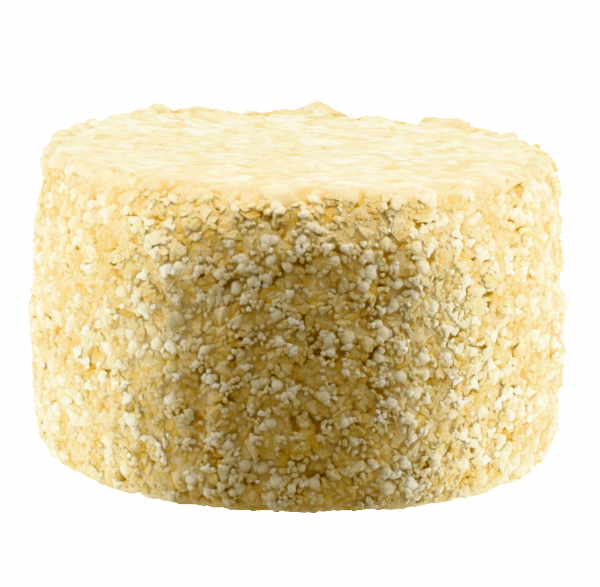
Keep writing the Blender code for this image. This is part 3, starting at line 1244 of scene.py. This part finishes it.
# Packed in this order, so that small grains fill what the large ones leave.
GRAINS = (
    Grains(
        "waxy_lumps", GrainShape.SLAB, WAXY_CURD, tries=140, smallest=5.0 * MM, largest=8.0 * MM,
        seed=5, half_height=0.18, drift_pull=-0.5,
    ),
    Grains(
        "white_lumps", GrainShape.KNOBBLY, WHITE_CURD, tries=5200, smallest=4.0 * MM, largest=8.5 * MM,
        seed=3, level=0.7 * MM, half_height=0.36, drift_pull=0.85, closeness=0.6,
    ),
    Grains(
        "waxy_chips", GrainShape.BROKEN, WAXY_CURD, tries=60000, smallest=3.2 * MM, largest=8.4 * MM,
        seed=7, skew=1.2, closeness=0.58,
    ),
    Grains(
        "white_bits", GrainShape.BIT, WHITE_CURD, tries=20000, smallest=1.8 * MM, largest=3.4 * MM,
        seed=13, level=0.3 * MM, drift_pull=0.75, closeness=0.66,
    ),
    Grains(
        "waxy_bits", GrainShape.BIT, WAXY_CURD, tries=80000, smallest=1.6 * MM, largest=3.2 * MM,
        seed=17, level=0.1 * MM, closeness=0.58,
    ),
)


@dataclass(frozen=True)
class LightSheet:
    """A flat sheet of cloth, lit from behind, that the camera doesn't see.

    Attributes:
        name: The light's name.
        place: The sheet's centre.
        facing: Which way it shines.
        width: Its level side.
        height: Its upright side.
        glow: How bright the cloth is.
        spread: How wide its light fans out, in degrees. A honeycomb in front of the cloth narrows it.
        colour: The cloth's colour.
    """

    name: str
    place: tuple[float, float, float]
    facing: tuple[float, float, float]
    width: float
    height: float
    glow: float
    spread: float = 180.0
    colour: str = "EAF4FF"

    def hang(self) -> None:
        """Adds the light."""
        lamp = bpy.data.lights.new(self.name, "AREA")
        lamp.shape = "RECTANGLE"
        lamp.size, lamp.size_y = self.width, self.height
        lamp.energy = self.glow * math.pi * self.width * self.height
        lamp.spread = math.radians(self.spread)
        lamp.color = linear(self.colour)[:3]
        holder = placed(self.name, lamp)
        turn = Vector(self.facing).to_track_quat("-Z", "Y").to_matrix().to_4x4()
        holder.matrix_world = Matrix.Translation(self.place) @ turn
        holder.visible_camera = False


SHEETS = (
    LightSheet("left_sheet", (-0.12, 0.1, 0.065), (1.0, 0.0, 0.0), 0.42, 0.5, 1.2),
    LightSheet("right_sheet", (0.12, 0.1, 0.065), (-1.0, 0.0, 0.0), 0.42, 0.5, 1.39),
    LightSheet("front_left", (-0.126, -0.6, 0.08), (0.0, 1.0, -0.05), 0.12, 0.25, 1.7, 12.0),
    LightSheet("front_right", (0.126, -0.6, 0.08), (0.0, 1.0, -0.05), 0.12, 0.25, 1.8, 12.0),
    LightSheet("rim_light", (0.0, -0.45, 0.445), (0.0, 0.365, -0.325), 0.3, 0.02, 1.5, 6.0, "FFF8E6"),
)


@dataclass
class Studio:
    """A small light tent over a light table, and the camera.

    Attributes:
        front: How bright the tent is at the front, where the camera looks in.
        behind: How much brighter it is behind the cheese.
        above: How much brighter it is above.
        below: How much brighter the light table makes it below.
        overhead: The strength of the even light from above.
        overhead_width: How wide its source looks, in degrees.
        overhead_from: Where it comes from.
        table_glow: How strongly the light table shines.
        camera_distance: From the camera to the cheese.
        camera_elevation: In degrees above the horizon.
        camera_roll: In degrees.
        lens: The focal length in mm, on a sensor 36 mm wide.
        aim: The spot that the camera looks at.
    """

    front: float = 0.165
    behind: float = 0.5
    above: float = 0.8
    below: float = 0.22
    overhead: float = 0.6
    overhead_width: float = 50.0
    overhead_from: tuple[float, float, float] = (0.0, 0.3, 1.0)
    table_glow: float = 8.0
    camera_distance: float = 1.08
    camera_elevation: float = 11.4
    camera_roll: float = 0.8
    lens: float = 205.4
    aim: tuple[float, float, float] = (0.0004, 0.0, 0.0516)

    def build(self) -> None:
        """Sets up the whole studio."""
        self.lay_table()
        self.light_from_above()
        self.hang_tent()
        for sheet in SHEETS:
            sheet.hang()
        self.place_camera()

    def lay_table(self) -> None:
        """Lays the floor: a lit white acrylic sheet that curves up all round, far from the cheese."""
        flat, bend, wall, sides = 2.2, 1.0, 2.0, 64
        path = [
            (flat + bend * math.sin(math.radians(turn)), bend * (1 - math.cos(math.radians(turn))))
            for turn in range(0, 91, 6)
        ]
        path.append((flat + bend, bend + wall))
        shape = bmesh.new()
        turns = [math.tau * side / sides for side in range(sides)]
        ways = [(math.cos(turn), math.sin(turn)) for turn in turns]
        rings = [
            [shape.verts.new((radius * across, radius * along, height)) for across, along in ways]
            for radius, height in path
        ]
        shape.faces.new(rings[0])
        for lower, upper in zip(rings, rings[1:]):
            for side in range(sides):
                after = (side + 1) % sides
                shape.faces.new((lower[side], upper[side], upper[after], lower[after]))
        mesh = as_mesh(shape, "light_table")
        floor = placed("light_table", mesh)
        # Opal acrylic scatters the light from under it, so it is an even, matt white with no lamps in sight.
        acrylic = bpy.data.materials.new("opal_acrylic")
        acrylic.use_nodes = True
        shader = acrylic.node_tree.nodes["Principled BSDF"]
        shader.inputs["Base Color"].default_value = linear("F2F1EE")
        shader.inputs["Roughness"].default_value = 0.9
        shader.inputs["Emission Color"].default_value = linear("FFFFFF")
        shader.inputs["Emission Strength"].default_value = self.table_glow
        mesh.materials.append(acrylic)
        # The table doesn't light the cheese, which keeps the front of the wall in shade.
        floor.visible_diffuse = False
        floor.visible_glossy = False
        floor.visible_shadow = False

    def light_from_above(self) -> None:
        """Adds an even light from above and a little behind."""
        lamp = bpy.data.lights.new("above", "SUN")
        lamp.energy = self.overhead
        lamp.angle = math.radians(self.overhead_width)
        holder = placed("above", lamp)
        holder.rotation_euler = Vector(self.overhead_from).to_track_quat("Z", "Y").to_euler()

    def hang_tent(self) -> None:
        """Hangs the tent's cloth: warm and dim at the front, white and bright above and behind."""
        world = bpy.data.worlds.new("light_tent")
        world.use_nodes = True
        tree = world.node_tree
        sky = tree.nodes["Background"]
        way = add(tree, "ShaderNodeTexCoord").outputs["Generated"]
        _, along, up = add(tree, "ShaderNodeSeparateXYZ", {0: way}).outputs
        far_behind, far_above, far_below, whitening = 0.6, 1.0, -0.7, 0.3
        back = step(tree, along, 0.0, far_behind, 0.0, self.behind, soft=False)
        high = step(tree, up, 0.0, far_above, self.front, self.front + self.above, soft=False)
        low = step(tree, up, 0.0, far_below, 0.0, self.below, soft=False)
        upper = maths(tree, "ADD", back, high)
        white = step(tree, upper, self.front, self.front + whitening, soft=False)
        tree.links.new(mixed(tree, "RGBA", white, linear("FFE9AE"), linear("FFFFFF")), sky.inputs["Color"])
        tree.links.new(maths(tree, "ADD", upper, low), sky.inputs["Strength"])
        bpy.context.scene.world = world

    def place_camera(self) -> None:
        """Places the camera."""
        lens = bpy.data.cameras.new("camera")
        lens.lens = self.lens
        lens.sensor_width = 36.0
        camera = placed("camera", lens)
        rise = math.radians(self.camera_elevation)
        away = Vector((0.0, -math.cos(rise), math.sin(rise)))
        roll = Matrix.Rotation(math.radians(self.camera_roll), 3, "Z")
        look = away.to_track_quat("Z", "Y").to_matrix() @ roll
        place = Vector(self.aim) + away * self.camera_distance
        camera.matrix_world = Matrix.Translation(place) @ look.to_4x4()
        bpy.context.scene.camera = camera


def main() -> None:
    """Builds the cheese and the studio."""
    logging.basicConfig(level=logging.INFO, format="%(name)s: %(message)s")
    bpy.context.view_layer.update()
    Studio().build()
    form = DrumForm()
    relief = relief_tree()
    wall = WallSkin(form).build(relief)
    PressedTop(form).build(relief)
    scatter, bed = scatter_tree(), Bed(wall)
    for grains in GRAINS:
        grains.build(bed, scatter)
    for name in (MOULD, OUTWARD, DRIFT):
        wall.data.attributes.remove(wall.data.attributes[name])
    view = bpy.context.scene.view_settings
    view.view_transform, view.look = "Khronos PBR Neutral", "Medium High Contrast"


if __name__ == "__main__":
    main()
